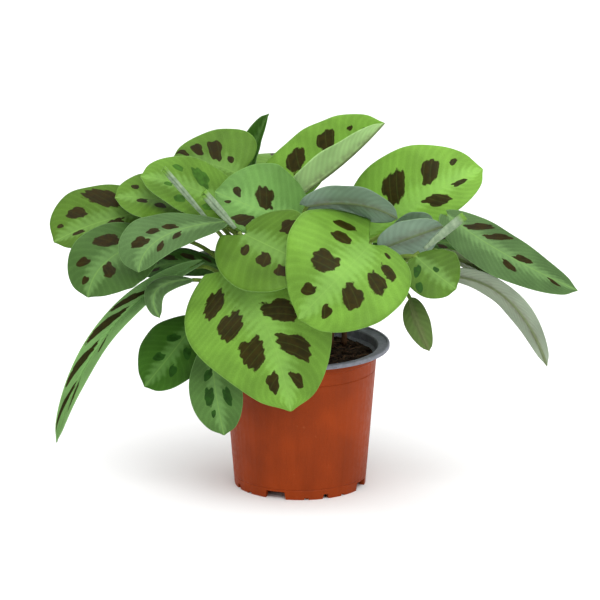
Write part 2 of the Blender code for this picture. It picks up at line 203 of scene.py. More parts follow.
# Of the pot, the peat and the floor.
POT_CLAY = (0.272, 0.038, 0.004)
# The next is a shaded copy of the clay: painted shade, laid on the pot in broad random patches.
POT_CLAY_SHADED = (0.210, 0.030, 0.004)
POT_SCUFF = (0.40, 0.14, 0.06)
POT_GREY = (0.20, 0.21, 0.245)
POT_DIRT = (0.07, 0.055, 0.045)
PEAT_DARK = (0.010, 0.006, 0.004)
PEAT_BROWN = (0.060, 0.034, 0.018)
PEAT_GRAIN = (0.16, 0.085, 0.04)
FIBRE_DARK = (0.055, 0.028, 0.014)
FIBRE_PALE = (0.24, 0.13, 0.065)
FLOOR_WHITE = (0.93, 0.93, 0.93)


@dataclass(frozen=True)
class Leaf:
    """One leaf: where its stalk leaves the soil, three points on its midrib and how its blade lies.

    face is the way the blade's upper side looks. left and right are the half widths, fold and curl
    the angles in degrees by which each half lifts at the midrib and bends on towards its margin.
    belly moves each half's widest place and lobe draws its base back. rise and lead are the shares of
    the stalk's length over which it stands straight and runs into the midrib. tone scales the color:
    it is partly the leaf's own green and partly painted light and shade, lowest for leaves in shadow.
    A spot is its middle along and across the blade, then its half length and its half width.
    """

    name: str
    foot: tuple
    base: tuple
    middle: tuple
    tip: tuple
    face: tuple
    left: float
    right: float
    fold: tuple = (8, 8)
    curl: tuple = (-12, -12)
    belly: tuple = (0.9, 0.9)
    lobe: tuple = (0.1, 0.1)
    rise: float = 0.5
    lead: float = 0.35
    color: tuple = BRIGHT
    tone: float = 1.0
    under: tuple = SILVER
    spot_color: tuple = BROWN
    spots: tuple = ()


# The spots of a leaf whose own can't be seen: pairs that shrink towards the tip.
USUAL_SPOTS = (
    (0.14, 0.45, 0.05, 0.18), (0.14, -0.45, 0.05, 0.18),
    (0.34, 0.40, 0.08, 0.22), (0.34, -0.42, 0.08, 0.22),
    (0.56, 0.38, 0.08, 0.21), (0.56, -0.38, 0.08, 0.20),
    (0.76, 0.32, 0.06, 0.17), (0.76, -0.32, 0.06, 0.17),
)

# A leaf's tone holds painted light and shade as well as its own green: the leaves in shadow have tones well
# under 1.
LEAVES = [
    Leaf("leaf_front_low", (-18, -28), (-48, -58, 161), (-22, -82, 131), (-6, -82, 73),
         (-0.1, -0.85, 0.5), 43, 50, belly=(0.9, 0.75), lobe=(0.12, 0.12),
         spots=((0.18, 0.48, 0.09, 0.20), (0.39, 0.42, 0.10, 0.20), (0.62, 0.34, 0.11, 0.20),
                (0.83, 0.26, 0.06, 0.15), (0.44, -0.28, 0.08, 0.25), (0.66, -0.33, 0.08, 0.28),
                (0.84, -0.30, 0.04, 0.18))),
    Leaf("leaf_front_centre", (4, -24), (45, -72, 182), (26, -98, 169), (-1, -104, 142),
         (-0.1, -0.8, 0.6), 44, 49, belly=(0.83, 0.68), lobe=(0.14, 0.50), lead=0.22,
         spots=((0.10, 0.58, 0.05, 0.15), (0.20, 0.38, 0.07, 0.15), (0.49, 0.31, 0.12, 0.20),
                (0.78, 0.28, 0.06, 0.16), (0.09, -0.55, 0.03, 0.08), (0.23, -0.57, 0.05, 0.17),
                (0.36, -0.50, 0.08, 0.20), (0.57, -0.38, 0.10, 0.22), (0.80, -0.35, 0.05, 0.16))),
    Leaf("leaf_centre_left", (-6, -26), (-35, -58, 186), (-13, -76, 180), (7, -84, 172),
         (-0.1, -0.75, 0.65), 30, 36, belly=(0.8, 0.75), lobe=(0.12, 0.35), rise=0.8, lead=0.05,
         color=YELLOWISH, tone=0.72,
         spots=((0.17, 0.33, 0.06, 0.12), (0.41, 0.29, 0.10, 0.15), (0.68, 0.42, 0.10, 0.15),
                (0.44, -0.60, 0.14, 0.20))),
    Leaf("leaf_behind_centre", (6, -8), (-3, -24, 187), (-27, -33, 197), (-56, -33, 209),
         (0.0, -0.8, 0.6), 20, 34, lobe=(0.1, 0.3), lead=0.15, color=BLUISH, tone=1.2,
         spots=((0.79, 0.25, 0.05, 0.14), (0.47, 0.26, 0.13, 0.22), (0.63, -0.60, 0.10, 0.28),
                (0.84, -0.24, 0.03, 0.14))),
    Leaf("leaf_upper_left", (-12, -6), (-40, -18, 190), (-72, -24, 209), (-105, -28, 218),
         (-0.1, -0.6, 0.8), 22, 25, tone=0.85, spot_color=SOFT_GREEN,
         spots=((0.65, 0.55, 0.05, 0.12), (0.43, 0.42, 0.09, 0.26), (0.72, -0.12, 0.05, 0.10),
                (0.59, -0.55, 0.06, 0.18), (0.30, -0.40, 0.06, 0.18))),
    Leaf("leaf_left_mid", (-18, -3), (-66, -16, 191), (-96, -22, 201), (-122, -26, 203),
         (0.0, -0.45, 0.9), 25, 25, color=YELLOWISH, tone=0.75,
         spots=((0.65, -0.16, 0.08, 0.11), (0.44, -0.24, 0.08, 0.12), (0.72, 0.45, 0.05, 0.12),
                (0.40, 0.40, 0.08, 0.18))),
    Leaf("leaf_far_left", (-25, 0), (-90, -12, 192), (-130, -26, 187), (-162, -38, 176),
         (-0.2, -0.7, 0.7), 20, 30, belly=(1.0, 1.2), color=YELLOWISH, tone=0.64,
         spots=((0.42, 0.60, 0.12, 0.32), (0.67, 0.43, 0.09, 0.17), (0.42, -0.22, 0.10, 0.18),
                (0.74, -0.12, 0.07, 0.10), (0.86, 0.40, 0.03, 0.10))),
    Leaf("leaf_left_lower", (-31, -4), (-98, -36, 177), (-127, -58, 168), (-139, -66, 146),
         (-0.2, -0.8, 0.6), 28, 26, color=BLUISH, tone=0.6,
         spots=((0.33, 0.46, 0.11, 0.24), (0.65, 0.50, 0.06, 0.18), (0.56, -0.22, 0.10, 0.20),
                (0.81, 0.25, 0.05, 0.14))),
    Leaf("leaf_front_left_pointed", (-17, -13), (-53, -44, 191), (-91, -74, 188), (-105, -84, 168),
         (0.0, -0.6, 0.8), 14, 22, belly=(0.9, 1.4), color=GREYISH, tone=0.64,
         spots=((0.35, 0.27, 0.06, 0.15), (0.50, 0.35, 0.06, 0.12), (0.67, 0.34, 0.08, 0.22),
                (0.36, -0.27, 0.05, 0.18), (0.57, -0.38, 0.06, 0.20))),
    Leaf("leaf_left_hanging", (-34, -16), (-75, -34, 156), (-128, -58, 117), (-161, -60, 45),
         (-0.3, -0.8, 0.5), 15, 10, fold=(50, 50), color=GREYISH, tone=1.45,
         spots=((0.30, 0.55, 0.05, 0.40), (0.45, 0.55, 0.07, 0.40), (0.65, 0.55, 0.07, 0.40),
                (0.84, 0.50, 0.05, 0.40), (0.78, -0.35, 0.06, 0.20), (0.53, -0.35, 0.03, 0.20))),
    Leaf("leaf_small_curled", (-28, -20), (-73, -48, 153), (-94, -64, 150), (-92, -62, 131),
         (-0.3, -0.6, 0.7), 8, 8, color=GREYISH, tone=0.6),
    Leaf("leaf_lower_left_dark", (-39, -9), (-69, -22, 117), (-85, -36, 99), (-103, -42, 78),
         (-0.5, -0.8, 0.3), 24, 24, lead=0.2, color=DEEP_SHADE_GREEN, tone=1.15, spot_color=DARK_GREEN,
         spots=((0.32, 0.26, 0.07, 0.18), (0.62, 0.25, 0.07, 0.16), (0.40, -0.40, 0.06, 0.17),
                (0.65, -0.42, 0.06, 0.17))),
    Leaf("leaf_pot_left", (-32, -27), (-58, -46, 111), (-56, -62, 85), (-50, -60, 50),
         (-0.2, -0.95, 0.2), 18, 18, belly=(1.3, 1.3), color=BLUISH, tone=0.85,
         spot_color=DARK_GREEN,
         spots=((0.60, 0.26, 0.11, 0.19), (0.62, -0.42, 0.10, 0.17), (0.78, 0.25, 0.04, 0.11),
                (0.38, 0.22, 0.06, 0.20))),
    Leaf("leaf_top_left", (-7, 4), (-43, 8, 211), (-60, 10, 217), (-85, 10, 220),
         (0.0, -0.8, 0.5), 10, 29, belly=(1.0, 0.45), lobe=(0.1, 0.12), lead=0.2, tone=0.7,
         spots=((0.88, 0.50, 0.05, 0.28), (0.70, 0.46, 0.07, 0.25), (0.46, 0.40, 0.11, 0.28),
                (0.21, 0.24, 0.06, 0.08))),
    Leaf("leaf_top_narrow", (-10, 8), (-34, 28, 203), (-30, 32, 221), (-21, 32, 246),
         (-0.3, -0.9, 0.3), 11, 9, fold=(30, 60), color=DEEP_SHADE_GREEN),
    Leaf("leaf_top_centre", (4, 1), (0, 4, 198), (30, 6, 220), (56, 6, 246),
         (-0.3, -0.8, 0.6), 38, 22, fold=(8, 110), belly=(0.7, 0.65), lobe=(0.5, 0.1), lead=0.2,
         tone=1.15, under=PALE_GREEN,
         spots=((0.25, -0.60, 0.08, 0.20), (0.50, -0.55, 0.09, 0.22), (0.73, -0.55, 0.03, 0.08),
                (0.80, -0.28, 0.04, 0.12))),
    Leaf("leaf_right_top", (9, 3), (47, -8, 173), (84, -14, 201), (121, -4, 217),
         (0.0, -0.8, 0.6), 40, 20, belly=(0.72, 1.2), lobe=(0.2, 0.1), tone=1.3,
         spots=((0.33, -0.42, 0.10, 0.27), (0.61, -0.40, 0.08, 0.24), (0.81, -0.50, 0.03, 0.12),
                (0.77, 0.14, 0.07, 0.12), (0.55, 0.30, 0.09, 0.28))),
    Leaf("leaf_centre_grey", (-1, -18), (6, -38, 201), (37, -46, 204), (64, -53, 196),
         (0.0, 0.7, 0.6), 20, 20, rise=0.4, lead=0.08, color=BLUISH),
    Leaf("leaf_right_silver", (12, -9), (56, -42, 174), (74, -50, 183), (94, -50, 190),
         (0.0, 0.8, 0.5), 20, 16, lead=0.2),
    Leaf("leaf_right_inner", (13, -3), (64, -26, 181), (79, -32, 187), (88, -34, 190),
         (0.0, 0.8, 0.5), 10, 12),
    Leaf("leaf_right_drooping", (16, 6), (98, -32, 192), (132, -48, 172), (183, -42, 144),
         (0.1, -0.7, 0.7), 16, 19, lobe=(0.06, 0.06), rise=0.2, lead=0.02,
         color=GREYISH, tone=0.62,
         spots=((0.26, -0.47, 0.06, 0.40), (0.43, -0.52, 0.05, 0.34), (0.64, -0.20, 0.06, 0.18),
                (0.58, 0.35, 0.05, 0.16), (0.86, 0.20, 0.03, 0.16))),
    Leaf("leaf_right_under", (17, -9), (99, -30, 151), (137, -50, 140), (163, -52, 95),
         (0.3, 0.8, 0.5), 11, 11, under=SILVER_PINK),
    Leaf("leaf_right_shaded", (16, 0), (96, -26, 165), (117, -36, 158), (130, -40, 151),
         (0.1, 0.6, 0.8), 18, 18, rise=0.6, under=DULL_SHADED_GREEN),
    Leaf("leaf_small_right", (13, -16), (77, -64, 172), (89, -74, 164), (102, -78, 155),
         (0.2, -0.8, 0.6), 20, 20, lead=0.12, tone=0.58, spot_color=DARK_GREEN,
         spots=((0.22, 0.42, 0.09, 0.22), (0.42, -0.10, 0.08, 0.10), (0.47, 0.78, 0.08, 0.16))),
    Leaf("leaf_hanging_right", (18, -15), (73, -56, 140), (77, -64, 128), (85, -64, 109),
         (0.1, 0.9, 0.3), 9, 9, color=YELLOWISH, under=DULL_SHADED_GREEN),
    Leaf("leaf_inner_left", (-28, 8), (-55, -4, 150), (-82, -10, 154), (-110, -14, 148),
         (0.0, -0.3, 1.0), 18, 18, color=DEEP_SHADE_GREEN, spots=USUAL_SPOTS),
    Leaf("leaf_inner_right", (12, 8), (52, 0, 160), (80, 2, 166), (108, 2, 162),
         (0.0, -0.5, 0.9), 18, 18, color=DEEP_SHADE_GREEN, spots=USUAL_SPOTS),
]

# The leaves of the plant's back: the compass angle of each, how far out and how high its blade
# starts, how far out and how high it ends, its half width and its colour.
BACK_LEAVES = [
    (26, 60, 165, 130, 145, 24, BLUISH),
    (50, 50, 178, 138, 150, 25, BRIGHT),
    (82, 44, 168, 130, 122, 25, BLUISH),
    (112, 46, 186, 138, 146, 25, BRIGHT),
    (138, 50, 168, 138, 128, 25, YELLOWISH),
    (162, 60, 176, 135, 158, 24, BLUISH),
    (96, 28, 196, 94, 200, 25, BRIGHT),
    (90, 46, 146, 104, 84, 24, BLUISH),
    (58, 46, 138, 100, 104, 20, DEEP_SHADE_GREEN),
    (124, 46, 138, 100, 100, 20, DEEP_SHADE_GREEN),
    (30, 52, 140, 110, 130, 18, YELLOWISH),
    (152, 52, 140, 112, 130, 18, BLUISH),
]


@dataclass(frozen=True)
class Shoot:
    """A young leaf that is still rolled up: where its stalk leaves the soil, its start and its end."""

    name: str
    foot: tuple
    base: tuple
    tip: tuple
    radius: float


SHOOTS = [
    Shoot("shoot_left", (-22, -19), (-59, -41, 190), (-90, -44, 228), 2.2),
    Shoot("shoot_centre", (-12, -18), (-43, -53, 190), (-64, -56, 215), 3.2),
    Shoot("shoot_right", (8, -15), (82, -56, 177), (108, -58, 200), 3.4),
]


def unit(vectors):
    """The vectors scaled to length 1."""
    return vectors / np.linalg.norm(vectors, axis=-1, keepdims=True)


def bezier(points, along):
    """Points and unit directions on the Bezier curve with these control points."""
    points = np.asarray(points, float)
    along = np.asarray(along, float)[:, None]
    degree = len(points) - 1
    place = sum(
        math.comb(degree, i) * along**i * (1 - along) ** (degree - i) * points[i]
        for i in range(degree + 1)
    )
    steps = np.diff(points, axis=0)
    direction = sum(
        math.comb(degree - 1, i) * along**i * (1 - along) ** (degree - 1 - i) * steps[i]
        for i in range(degree)
    )
    return place, unit(direction)


def midrib_controls(leaf):
    """The quadratic Bezier through the leaf's base, middle and tip."""
    base, middle, tip = (np.array(p, float) for p in (leaf.base, leaf.middle, leaf.tip))
    return np.array([base, 2 * middle - (base + tip) / 2, tip])


def stalk_controls(leaf):
    """A stalk that rises straight out of the soil and runs smoothly into the midrib."""
    foot = np.array([*leaf.foot, SOIL_TOP])
    base, bend, _ = midrib_controls(leaf)
    span = np.linalg.norm(base - foot)
    lead = leaf.lead * span * unit(bend - base)
    return np.array([foot, foot + [0, 0, leaf.rise * span], base - lead, base])


def blade_frame(leaf, along):
    """Midrib points, with the directions along the blade, to its right and out of its upper side."""
    place, ahead = bezier(midrib_controls(leaf), along)
    face = np.array(leaf.face, float)
    up = unit(face - (ahead @ face)[:, None] * ahead)
    return place, ahead, np.cross(ahead, up), up


def outline(belly, along):
    """A half blade's width from 0 to 1: rounded at the base, with a small point at the tip."""
    full = np.clip(np.sin(np.pi * np.clip(along, 0, 1) ** belly), 0, 1) ** FULLNESS
    return full * (1 - TIP_NARROWING * np.exp(-(((1 - along) / TIP_SHARE) ** 2)))


def half_section(fold, curl, out):
    """How far sideways and up a half blade's points lie, as shares of its width."""
    start = math.radians(fold)
    bend = math.radians(curl) or 1e-6
    aside = (np.sin(start + bend * out) - math.sin(start)) / bend
    lift = (math.cos(start) - np.cos(start + bend * out)) / bend
    return aside, lift


def blade_surface(leaf, along, across):
    """The blade's middle surface, its upward normals and its half widths at each place along."""
    place, ahead, right, up = blade_frame(leaf, along)
    length = blade_length(leaf)
    out = np.abs(across)
    is_left = across < 0
    aside_left, lift_left = half_section(leaf.fold[0], leaf.curl[0], out)
    aside_right, lift_right = half_section(leaf.fold[1], leaf.curl[1], out)
    aside = np.where(is_left, -leaf.left * aside_left, leaf.right * aside_right)
    lift = np.where(is_left, leaf.left * lift_left, leaf.right * lift_right)
    width_left, width_right = (outline(belly, along)[:, None] for belly in leaf.belly)
    width = np.where(is_left, width_left, width_right)
    back = -length * np.outer((1 - along) ** 3, np.where(is_left, leaf.lobe[0], leaf.lobe[1]) * out)
    points = (
        place[:, None, :]
        + right[:, None, :] * (width * aside)[..., None]
        + up[:, None, :] * (width * lift)[..., None]
        + ahead[:, None, :] * back[..., None]
    )
    lean = np.where(
        is_left,
        np.radians(leaf.fold[0] + leaf.curl[0] * out),
        -np.radians(leaf.fold[1] + leaf.curl[1] * out),
    )
    lean = np.where(across == 0, math.radians(leaf.fold[0] - leaf.fold[1]) / 2, lean)
    normals = up[:, None, :] * np.cos(lean)[:, None] + right[:, None, :] * np.sin(lean)[:, None]
    return points, normals, width * np.where(is_left, leaf.left, leaf.right)


def blade_length(leaf):
    """The straight distance from the blade's base to its tip."""
    return float(np.linalg.norm(np.array(leaf.tip, float) - np.array(leaf.base, float)))


def back_leaf(number, azimuth, start_reach, start_height, end_reach, end_height, half_width, color):
    """A leaf of the plant's back, arched in the upright plane at its compass angle."""
    outward = np.array([math.cos(math.radians(azimuth)), math.sin(math.radians(azimuth))])
    arch = BACK_ARCH * math.hypot(end_reach - start_reach, end_height - start_height)
    middle_reach = (start_reach + end_reach) / 2
    middle_height = (start_height + end_height) / 2 + arch
    foot_reach = BACK_FOOT_REACH + BACK_FOOT_SPREAD * (BACK_START - start_height)

    def place(reach, height):
        return (*(outward * reach), height)

    return Leaf(
        f"leaf_back_{number}",
        tuple(outward * foot_reach),
        place(start_reach, start_height),
        place(middle_reach, middle_height),
        place(end_reach, end_height),
        (*(outward * 0.5), 0.85),
        half_width,
        half_width,
        belly=(0.8, 0.8),
        lobe=(0.12, 0.12),
        color=color,
        spots=USUAL_SPOTS,
    )


def vein_course(along, across):
    """Where the side vein through each point left the midrib: the veins sweep on towards the tip."""
    return along[:, None] - VEIN_SWEEP * np.abs(across)[None, :] ** SWEEP_POWER


def spot_field(leaf, along, across):
    """Over 0 inside the leaf's spots and under 0 outside them, with their ends along the side veins."""
    course = vein_course(along, across)
    field = np.full(course.shape, -1.0)
    for middle, aside, half_length, half_width in leaf.spots:
        start = middle - VEIN_SWEEP * abs(aside) ** SWEEP_POWER
        reach = (
            np.abs((course - start) / half_length) ** SPOT_SQUARENESS
            + np.abs((across[None, :] - aside) / half_width) ** SPOT_SQUARENESS
        ) ** (1 / SPOT_SQUARENESS)
        notch = np.exp(-(((across[None, :] - aside * NOTCH_ASIDE) / (NOTCH_WIDTH * half_width)) ** 2))
        reach = reach + NOTCH_DEPTH * notch * np.clip((start - course) / half_length, 0, 1)
        # A spot stays on its own half, a little clear of the midrib.
        own_half = np.sign(aside) * across[None, :] * 8 - 0.25
        field = np.maximum(field, np.minimum(1 - reach, own_half))
    return field


def ring(middle, direction, up, radius, columns):
    """A round section: its upper half from left to right, then its lower half from right to left."""
    turn = math.pi * (np.arange(columns) + 0.5) / columns
    angles = np.concatenate([math.pi - turn, -turn])
    right = np.cross(direction, up)
    return middle + radius * (np.outer(np.cos(angles), right) + np.outer(np.sin(angles), up))


def stalk_rings(controls, up, columns):
    """Round sections from the foot upwards, their frames carried back from the upper end's."""
    shares = np.linspace(0, 1, STALK_STATIONS)[:-1]
    place, ahead = bezier(controls, shares)
    rings = []
    for middle, direction, share in reversed(list(zip(place, ahead, shares))):
        up = unit(up - (up @ direction) * direction)
        radius = STALK_TOP_RADIUS + STALK_FLARE * (1 - share) ** 2
        rings.append(ring(middle, direction, up, radius, columns))
    return rings[::-1]


def skin(rings):
    """A closed skin over the sections. The ends are closed between each section's two halves."""
    sides = len(rings[0])
    points = np.concatenate(rings)
    faces = []
    for start in range(0, sides * (len(rings) - 1), sides):
        for i in range(sides):
            j = (i + 1) % sides
            faces.append((start + i, start + i + sides, start + j + sides, start + j))
    last = sides * (len(rings) - 1)
    for i in range(sides // 2 - 1):
        a, b, c, d = i, i + 1, sides - 2 - i, sides - 1 - i
        faces.append((a, b, c, d))
        faces.append((last + d, last + c, last + b, last + a))
    return points, faces


def add_object(name, points, faces, material, attributes=None):
    """A smooth object from points in millimetres, with numbers of its own at its points."""
    mesh = bpy.data.meshes.new(name)
    mesh.from_pydata((np.asarray(points) * MM).tolist(), [], faces)
    mesh.shade_smooth()
    for key, values in (attributes or {}).items():
        values = np.asarray(values, float)
        if values.ndim == 2:
            layer = mesh.attributes.new(key, "FLOAT_COLOR", "POINT")
            layer.data.foreach_set("color", values.ravel())
        else:
            layer = mesh.attributes.new(key, "FLOAT", "POINT")
            layer.data.foreach_set("value", values)
    mesh.materials.append(material)
    made = bpy.data.objects.new(name, mesh)
    bpy.context.collection.objects.link(made)
    return made


def leaf_relief(leaf, along, across, widths, seed):
    """How far the blade's surface stands up: pleats between side veins and waves along the margin."""
    out = np.abs(across)[None, :]
    turns = vein_turns(leaf, along, across)
    # The pleats fade out towards the midrib and the margin.
    inside = np.clip((1 - out) * 6, 0, 1) * np.clip(out * 8, 0, 1)
    pleats = PLEAT_HEIGHT * np.sin(2 * math.pi * turns) * inside
    draws = np.random.default_rng(seed)
    wave = np.zeros_like(pleats)
    for side in (-1, 1):
        phase, waves = draws.uniform(0, 2 * math.pi), draws.uniform(2.2, 3.8)
        swell = np.sin(2 * math.pi * waves * along + phase) * np.sin(math.pi * along)
        wave += np.where(np.sign(across)[None, :] == side, swell[:, None] * out**3, 0)
    size = np.clip(widths / FULL_RELIEF_WIDTH, 0, 1.2)
    return pleats * size + WAVE_HEIGHT * wave * size


def vein_turns(leaf, along, across):
    """The side veins' count at each point, one vein to each whole number."""
    return vein_course(along, across) * blade_length(leaf) / VEIN_SPACING


def blade_grid():
    """The places along and across a blade at which its points stand, closest at its ends and midrib."""
    turn = np.linspace(BLADE_START, BLADE_END, BLADE_STATIONS)
    spread = np.linspace(-1, 1, COLUMNS)
    return (1 - np.cos(math.pi * turn)) / 2, np.sign(spread) * np.abs(spread) ** COLUMN_CROWDING


def sheet_rings(along, across, widths, points, normals):
    """The blade's sections: a sheet thinner at its margin, over a midrib that stands out below it."""
    out = np.abs(across)[None, :]
    half = MARGIN_THICKNESS / 2 + (BLADE_THICKNESS - MARGIN_THICKNESS) / 2 * (1 - out**4)
    rib = STALK_TOP_RADIUS * (1 - along[:, None]) + MIDRIB_END_RADIUS * along[:, None]
    rib_depth = rib * np.exp(-((out * widths / (rib * 0.9)) ** 2))
    upper = points + normals * (half + 0.25 * rib_depth)[..., None]
    lower = points - normals * (half + rib_depth)[..., None]
    return list(np.concatenate([upper, lower[:, ::-1]], axis=1))


def leaf_values(leaf, along, across, widths, stalk_sections, seed):
    """What the leaf's material needs at each point: first the stalk's points, then the blade's."""
    stalk_points = stalk_sections * 2 * COLUMNS
    share = np.repeat(np.linspace(0, 1, stalk_sections), 2 * COLUMNS)
    out = np.abs(across)[None, :]

    def both(values, on_stalk=0.0):
        """Values for the upper side and the underside, after those of the stalk."""
        grid = np.broadcast_to(values, widths.shape)
        sides = np.concatenate([grid, grid[:, ::-1]], axis=1).ravel()
        return np.concatenate([np.broadcast_to(on_stalk, stalk_points), sides])

    underside = np.concatenate([np.zeros_like(widths), np.ones_like(widths)], axis=1).ravel()
    count = stalk_points + underside.size
    draws = np.random.default_rng(seed + TONE_SEED)
    # The leaf's tone, with its painted light and shade, varied a little at random.
    tone = leaf.tone * draws.uniform(0.95, 1.05)
    return {
        "aside": both(out * widths),
        "out": both(out),
        "edge": both((1 - out) * widths, FAR_FROM_MARGIN),
        "vein": both(vein_turns(leaf, along, across)),
        "spot": both(spot_field(leaf, along, across), NO_SPOT),
        "underside": np.concatenate([np.zeros(stalk_points), underside]),
        "stalk": np.concatenate([2.0 - share, np.zeros(underside.size)]),
        "leaf_color": np.tile([*(np.array(leaf.color) * tone), 1.0], (count, 1)),
        "spot_color": np.tile([*leaf.spot_color, 1.0], (count, 1)),
        "under_color": np.tile([*leaf.under, 1.0], (count, 1)),
    }


def make_leaf(leaf, material, seed):
    """A leaf as one closed skin over its stalk and its blade."""
    along, across = blade_grid()
    points, normals, widths = blade_surface(leaf, along, across)
    points = points + normals * leaf_relief(leaf, along, across, widths, seed)[..., None]
    _, _, _, up = blade_frame(leaf, [0.0])
    stalk = stalk_rings(stalk_controls(leaf), up[0], COLUMNS)
    vertices, faces = skin(stalk + sheet_rings(along, across, widths, points, normals))
    values = leaf_values(leaf, along, across, widths, len(stalk), seed)
    made = add_object(leaf.name.replace("leaf", "blade"), vertices, faces, material, values)
    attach(made, "root")
    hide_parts(leaf.name)


def roll_section(middle, direction, up, radius, columns):
    """A sheet rolled up about its middle: its outer face from the free edge in, then its inner face."""
    turn = np.linspace(0, 1, columns)
    angles = ROLL_START - turn * ROLL_TURN
    reach = radius * (1 - ROLL_TIGHTENING * turn)
    thickness = ROLL_THICKNESS * min(1.0, radius / 2)
    right = np.cross(direction, up)
    rim = np.outer(np.cos(angles), right) + np.outer(np.sin(angles), up)
    outer = middle + rim * (reach + thickness)[:, None]
    inner = middle + rim * (reach - thickness)[:, None]
    return np.concatenate([outer, inner[::-1]])


def make_shoot(shoot, material):
    """A rolled shoot: a round stalk that runs into a rolled sheet, open at its end."""
    base, tip = np.array(shoot.base, float), np.array(shoot.tip, float)
    foot = np.array([*shoot.foot, SOIL_TOP])
    ahead = unit(tip - base)
    span = np.linalg.norm(base - foot)
    controls = np.array([
        foot, foot + [0, 0, SHOOT_RISE * span], base - SHOOT_LEAD * span * ahead, base,
    ])
    raised = np.array([0.0, -1.0, 1.0])
    up = unit(raised - (raised @ ahead) * ahead)
    length = np.linalg.norm(tip - base)
    stalk_points, stalk_faces = skin(stalk_rings(controls, up, SHOOT_STALK_COLUMNS))
    slant = np.linspace(0, 1, SHOOT_COLUMNS)
    slant = np.concatenate([slant, slant[::-1]])[:, None]
    rolls = []
    for share in np.linspace(-ROLL_OVERLAP, 1.0, SHOOT_STATIONS):
        opened = math.sin(min(1.0, max(0.0, share) / ROLL_FULL_AT) * math.pi / 2)
        radius = shoot.radius * (ROLL_BASE_SIZE + (1 - ROLL_BASE_SIZE) * opened)
        section = roll_section(base + share * length * ahead, ahead, up, radius, SHOOT_COLUMNS)
        rolls.append(section - ahead * slant * max(0.0, share) * shoot.radius)
    roll_points, roll_faces = skin(rolls)
    points = np.concatenate([stalk_points, roll_points])
    faces = stalk_faces + [tuple(i + len(stalk_points) for i in face) for face in roll_faces]
    along = np.repeat(np.linspace(0, 1, SHOOT_STATIONS), 2 * SHOOT_COLUMNS)
    around = np.tile(np.linspace(0, ROLL_VEINS_ROUND, SHOOT_COLUMNS), 2 * SHOOT_STATIONS)
    no_roll = np.zeros(len(stalk_points))
    made = add_object(shoot.name.replace("shoot", "roll"), points, faces, material, {
        "vein": np.concatenate([no_roll, along * ROLL_VEINS_ALONG + around]),
        "stalk": np.concatenate([no_roll + 1, np.zeros(len(roll_points))]),
        "along": np.concatenate([no_roll, along]),
    })
    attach(made, "root")
    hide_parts(shoot.name)


class Shader:
    """A material's nodes, made one by one. Each method returns the socket that its node gives."""

    def __init__(self, name, roughness, **constants):
        self.material = bpy.data.materials.new(name)
        self.material.use_nodes = True
        self.nodes = self.material.node_tree.nodes
        self.links = self.material.node_tree.links
        self.surface = self.nodes["Principled BSDF"]
        self.surface.inputs["Roughness"].default_value = roughness
        for key, value in constants.items():
            self.surface.inputs[key.replace("_", " ")].default_value = value

    def put(self, socket, value):
        """Links a socket, or sets a number or a colour."""
        if isinstance(value, bpy.types.NodeSocket):
            self.links.new(value, socket)
        elif isinstance(value, tuple) and len(value) == 3 and socket.type == "RGBA":
            socket.default_value = (*value, 1.0)
        else:
            socket.default_value = value

    def stored(self, name, kind="Fac"):
        """A number, or with "Color" a colour, that the mesh holds at its points."""
        node = self.nodes.new("ShaderNodeAttribute")
        node.attribute_name = name
        return node.outputs[kind]

    def position(self):
        """The place on the object, in metres."""
        return self.nodes.new("ShaderNodeTexCoord").outputs["Object"]

    def math(self, operation, a, b=0.0, c=0.0):
        """A sum or another operation on numbers."""
        node = self.nodes.new("ShaderNodeMath")
        node.operation = operation
        for socket, value in zip(node.inputs, (a, b, c)):
            self.put(socket, value)
        return node.outputs[0]

    def noise(self, scale, detail=3.0, stretch=None):
        """Noise from 0 to 1 with features about 1 / scale metres across."""
        place = self.position()
        if stretch:
            mapping = self.nodes.new("ShaderNodeMapping")
            mapping.inputs["Scale"].default_value = stretch
            self.links.new(place, mapping.inputs["Vector"])
            place = mapping.outputs[0]
        node = self.nodes.new("ShaderNodeTexNoise")
        node.inputs["Scale"].default_value = scale
        node.inputs["Detail"].default_value = detail
        self.links.new(place, node.inputs["Vector"])
        return node.outputs["Fac"]

    def step(self, value, low, high, to_low=0.0, to_high=1.0):
        """A smooth step of value from low to high."""
        node = self.nodes.new("ShaderNodeMapRange")
        node.interpolation_type = "SMOOTHSTEP"
        for socket, number in zip(node.inputs, (value, low, high, to_low, to_high)):
            self.put(socket, number)
        return node.outputs[0]

    def mix(self, factor, a, b):
        """Colour a where the factor is 0 and colour b where it is 1."""
        node = self.nodes.new("ShaderNodeMix")
        node.data_type = "RGBA"
        self.put(node.inputs["Factor"], factor)
        self.put(node.inputs[6], a)
        self.put(node.inputs[7], b)
        return node.outputs[2]

    def scaled(self, color, factor):
        """The colour made lighter or darker by a number."""
        node = self.nodes.new("ShaderNodeVectorMath")
        node.operation = "SCALE"
        self.put(node.inputs[0], color)
        self.put(node.inputs["Scale"], factor)
        return node.outputs[0]

    def bump(self, height, distance, strength):
        """Fine relief: a height of 1 stands up by the distance."""
        node = self.nodes.new("ShaderNodeBump")
        node.inputs["Strength"].default_value = strength
        node.inputs["Distance"].default_value = distance
        self.put(node.inputs["Height"], height)
        self.links.new(node.outputs[0], self.surface.inputs["Normal"])

    def finish(self, color, roughness=None):
        """Sets the colour and returns the material."""
        self.put(self.surface.inputs["Base Color"], color)
        if roughness is not None:
            self.put(self.surface.inputs["Roughness"], roughness)
        return self.material


